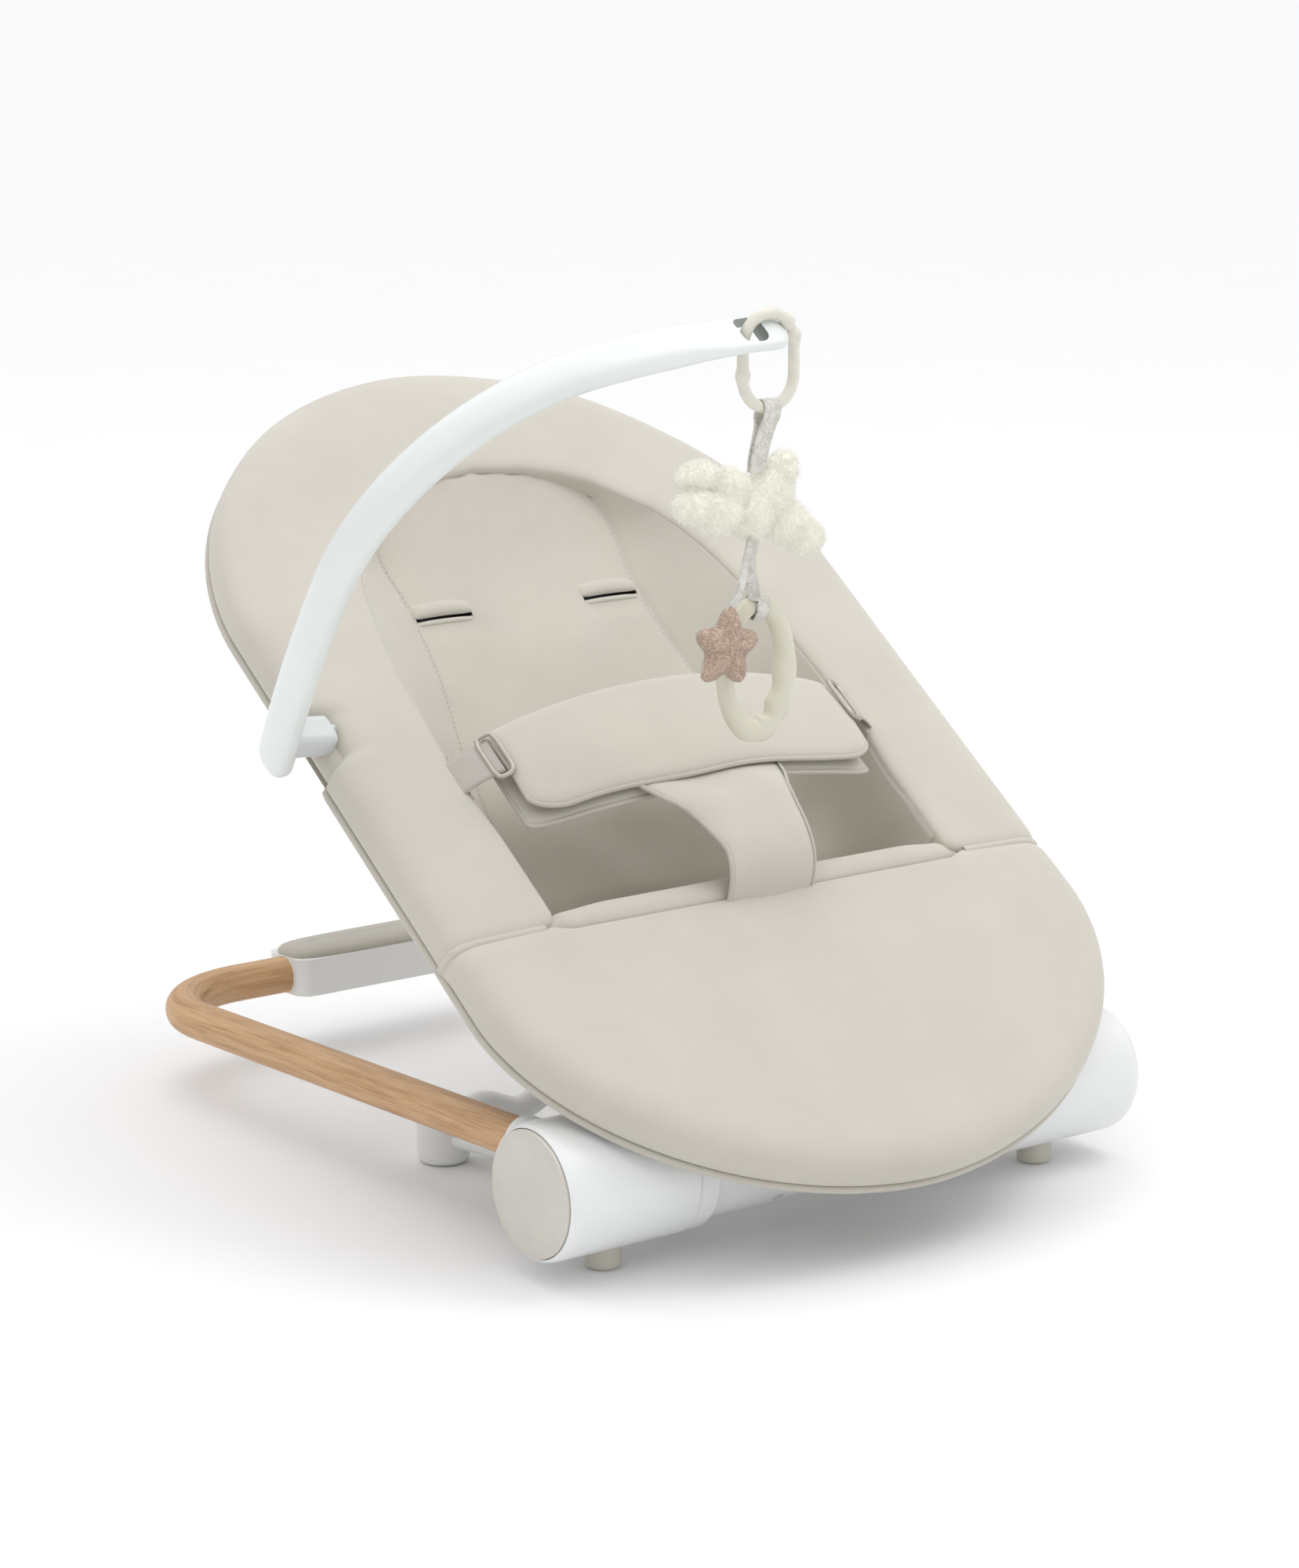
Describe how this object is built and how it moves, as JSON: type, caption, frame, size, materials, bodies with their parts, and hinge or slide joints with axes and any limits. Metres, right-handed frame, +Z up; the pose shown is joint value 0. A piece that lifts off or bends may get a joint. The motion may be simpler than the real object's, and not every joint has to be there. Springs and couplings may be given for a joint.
{
  "type": "bouncer seat",
  "caption": "Baby bouncer: padded reclining seat on a tube frame, sprung on a hub with wooden legs, waist belt and a toy bar with hanging toys.",
  "frame": {"origin": "on the floor under the middle of the hub's axis", "axes": "+Z up, +Y from the foot end to the head end, +X to the seat's right as seen from its foot end"},
  "size_m": [0.5263, 0.6621, 0.5833],
  "materials": {
    "white_plastic": "satin moulded plastic",
    "champagne": "satin pearl paint on plastic",
    "oak": "matt lacquer over oak grain",
    "steel": "zinc plated",
    "dark_plastic": "moulded",
    "rubber_foot": "matt rubber",
    "seat_fabric": "fine soft weave",
    "pedal_fabric": "smooth soft pad",
    "board": "raw fibreboard",
    "webbing": "woven webbing",
    "ivory_plastic": "soft moulded plastic",
    "plush": "long pile plush",
    "ribbon": "printed ribbon",
    "star_fabric": "short pile",
    "silicone": "soft silicone"
  },
  "bodies": {
    "base": {"hub_left": "white_plastic", "hub_right": "white_plastic", "hub_bushes": "dark_plastic", "bounce_springs": "steel", "button_springs": "steel", "front_feet": "rubber_foot", "leg_left": "oak", "leg_right": "oak", "leg_spigots": "steel", "pedal_tube": "steel", "pedal_shell": "white_plastic", "pedal_plate": "white_plastic", "pedal_pad": "pedal_fabric", "pedal_screws": "steel", "stand_arm_left": "white_plastic", "stand_arm_right": "white_plastic", "stand_bar": "white_plastic", "stand_feet": "white_plastic"},
    "bounce_shaft": {"axle": "steel", "recline_discs": "steel"},
    "button_left": {"button_left": "champagne"},
    "button_right": {"button_right": "champagne"},
    "seat": {"core_upper": "white_plastic", "core_lower": "white_plastic", "core_screws": "steel", "lock_plungers": "steel", "cradle_arm_left": "white_plastic", "cradle_arm_right": "white_plastic", "cross_tube": "steel", "frame_lower": "steel", "frame_upper": "steel", "frame_sleeves": "dark_plastic", "back_board": "board", "back_pad": "seat_fabric", "foot_panel": "seat_fabric", "bolster_left": "seat_fabric", "bolster_right": "seat_fabric", "head_pad": "seat_fabric", "seat_pocket": "seat_fabric", "crotch_strap": "seat_fabric", "belt_pad": "seat_fabric", "belt_webbing": "webbing", "belt_rings": "steel", "slot_trims": "seat_fabric", "bar_socket": "white_plastic"},
    "toy_bar": {"toy_bar": "white_plastic", "bar_pin": "steel"},
    "toy_link": {"toy_link": "ivory_plastic"},
    "plush": {"plush_ribbon": "ribbon", "plush_body": "plush", "toy_ribbons": "ribbon"},
    "star": {"star_ribbon": "ribbon", "star": "star_fabric"},
    "teether": {"teether_ribbon": "ribbon", "teether": "silicone"}
  },
  "joints": [
    {"name": "seat_bounce", "type": "hinge", "parent": "base", "child": "bounce_shaft", "pos_m": [0, 0, 0.058], "axis": [1, 0, 0], "range_deg": [-7, 5], "stiffness_Nm_per_rad": 60, "springref_deg": 5.24},
    {"name": "seat_recline", "type": "hinge", "parent": "bounce_shaft", "child": "seat", "pos_m": [0, 0, 0.058], "axis": [1, 0, 0], "range_deg": [-11, 11]},
    {"name": "button_left_press", "type": "slide", "parent": "base", "child": "button_left", "axis": [1, 0, 0], "range_m": [0, 0.004], "stiffness_N_per_m": 800, "springref_m": -0.005},
    {"name": "button_right_press", "type": "slide", "parent": "base", "child": "button_right", "axis": [-1, 0, 0], "range_m": [0, 0.004], "stiffness_N_per_m": 800, "springref_m": -0.005},
    {"name": "toy_bar_swing", "type": "hinge", "parent": "seat", "child": "toy_bar", "pos_m": [-0.25, 0.22788, 0.3079], "axis": [1, 0, 0], "range_deg": [-80, 15]},
    {"name": "link_swing", "type": "hinge", "parent": "toy_bar", "child": "toy_link", "pos_m": [-0.016, 0.04605, 0.56757], "axis": [1, 0, 0], "range_deg": [-3, 25]},
    {"name": "plush_swing", "type": "hinge", "parent": "toy_link", "child": "plush", "pos_m": [-0.016, 0.04605, 0.52007], "axis": [1, 0, 0], "range_deg": [-35, 35]},
    {"name": "star_swing", "type": "hinge", "parent": "plush", "child": "star", "pos_m": [-0.056, 0.03705, 0.40707], "axis": [0, 1, 0], "range_deg": [-25, 25]},
    {"name": "teether_swing", "type": "hinge", "parent": "plush", "child": "teether", "pos_m": [-0.02, 0.05305, 0.40707], "axis": [0, 1, 0], "range_deg": [-25, 25]}
  ]
}
